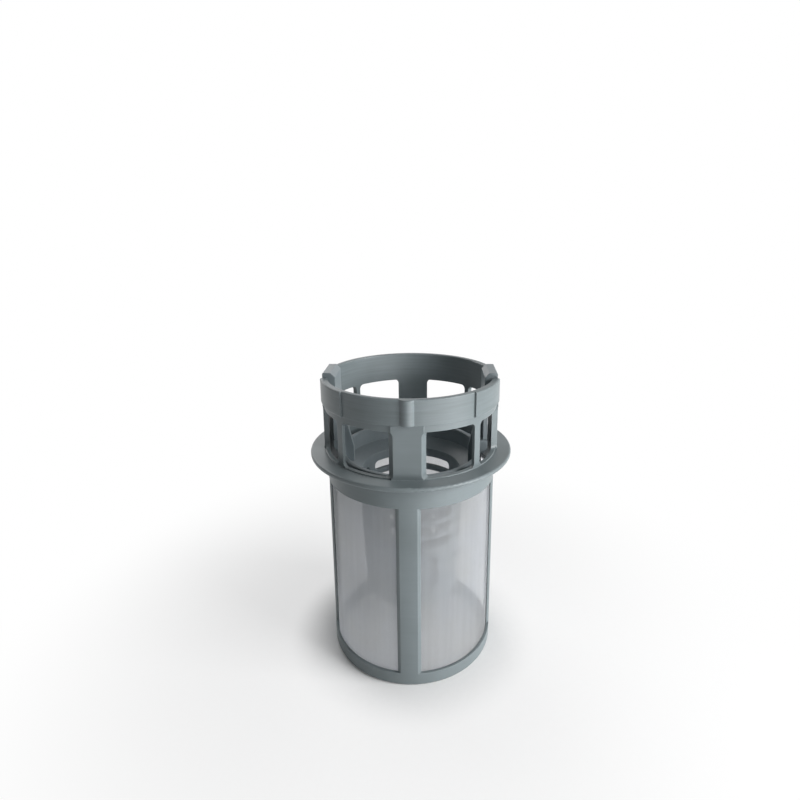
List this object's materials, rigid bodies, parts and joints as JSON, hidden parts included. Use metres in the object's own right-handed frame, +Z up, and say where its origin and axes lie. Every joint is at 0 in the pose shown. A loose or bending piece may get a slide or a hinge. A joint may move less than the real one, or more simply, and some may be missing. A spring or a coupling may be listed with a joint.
{
  "type": "dishwasher filter",
  "caption": "Cup filter: a fine-mesh cylinder with a windowed collar and a flange, and a slotted basket that hangs in its collar by two arms.",
  "frame": {"origin": "centre of the underside of the cylinder's foot ring", "axes": "+Z up along the cylinder's axis, -Y to the front pillar with the band's bump, the basket's arms at +X and -X"},
  "size_m": [0.0872, 0.0872, 0.1289],
  "materials": {
    "frame_plastic": "satin moulded",
    "filter_mesh": "fine woven filter cloth",
    "basket_plastic": "satin moulded"
  },
  "bodies": {
    "cylinder": {"filter_frame": "frame_plastic", "mesh_sleeve": "filter_mesh"},
    "basket": {"basket": "basket_plastic"}
  },
  "joints": [
    {"name": "basket_lift", "type": "slide", "parent": "cylinder", "child": "basket", "axis": [0, 0, 1], "range_m": [0, 0.1195]}
  ]
}
